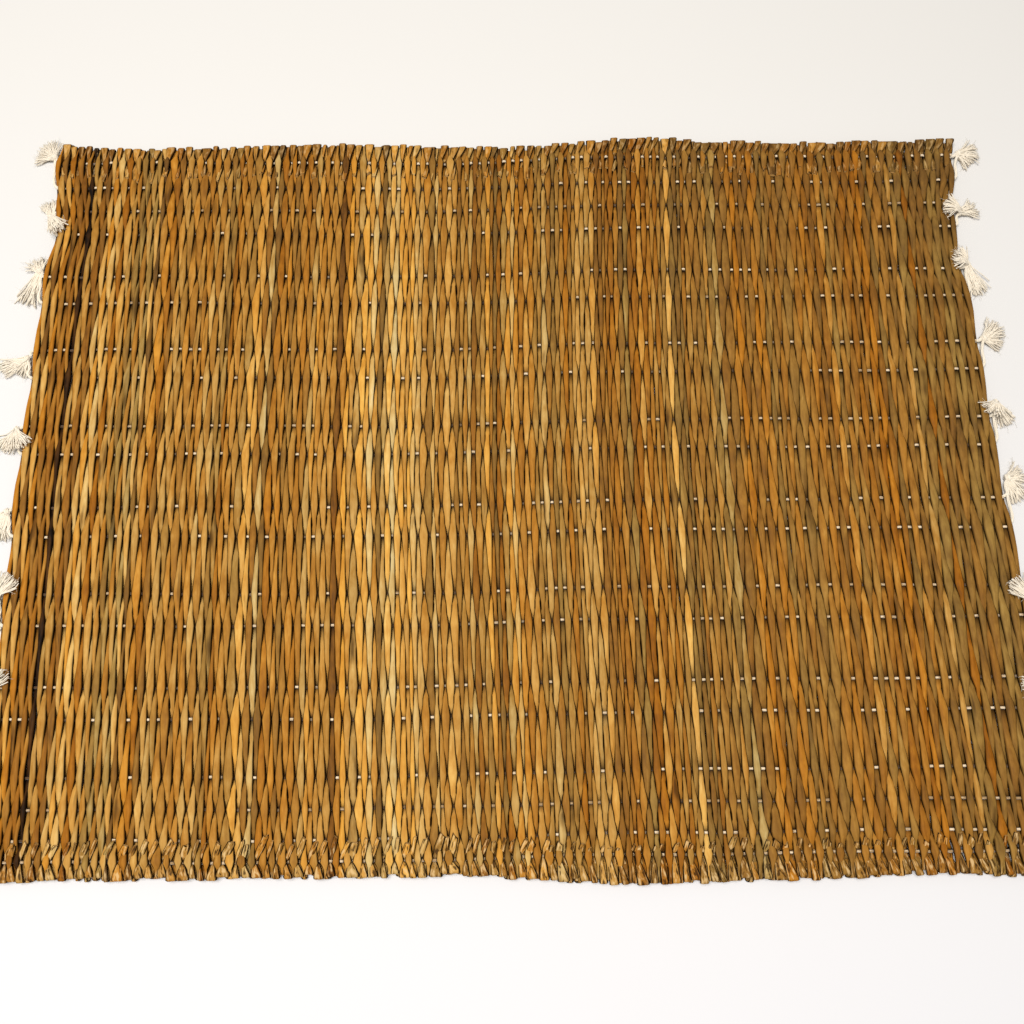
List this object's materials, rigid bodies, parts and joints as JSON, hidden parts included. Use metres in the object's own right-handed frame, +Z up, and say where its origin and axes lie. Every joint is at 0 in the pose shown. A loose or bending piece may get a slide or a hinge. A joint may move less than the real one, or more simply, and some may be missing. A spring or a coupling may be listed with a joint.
{
  "type": "straw placemat",
  "caption": "Flat rectangular placemat woven from rush stems across cotton threads, with folded long edges and knotted thread tufts on the short sides.",
  "frame": {"origin": "centre of the mat's flat underside, on the table", "axes": "+X along the cotton threads and the mat's length, +Y along the rush stems, +Z up from the table"},
  "size_m": [0.4875, 0.3595, 0.0074],
  "materials": {
    "rush": "dried rush stems, satin, golden brown with streaks",
    "cotton": "soft undyed cotton thread"
  },
  "bodies": {
    "root": {"mat": "rush", "tuft_left_01": "cotton", "tuft_left_02": "cotton", "tuft_left_03": "cotton", "tuft_left_04": "cotton", "tuft_left_05": "cotton", "tuft_left_06": "cotton", "tuft_left_07": "cotton", "tuft_left_08": "cotton", "tuft_left_09": "cotton", "tuft_left_10": "cotton", "tuft_right_01": "cotton", "tuft_right_02": "cotton", "tuft_right_03": "cotton", "tuft_right_04": "cotton", "tuft_right_05": "cotton", "tuft_right_06": "cotton", "tuft_right_07": "cotton", "tuft_right_08": "cotton", "tuft_right_09": "cotton", "tuft_right_10": "cotton"}
  },
  "joints": []
}
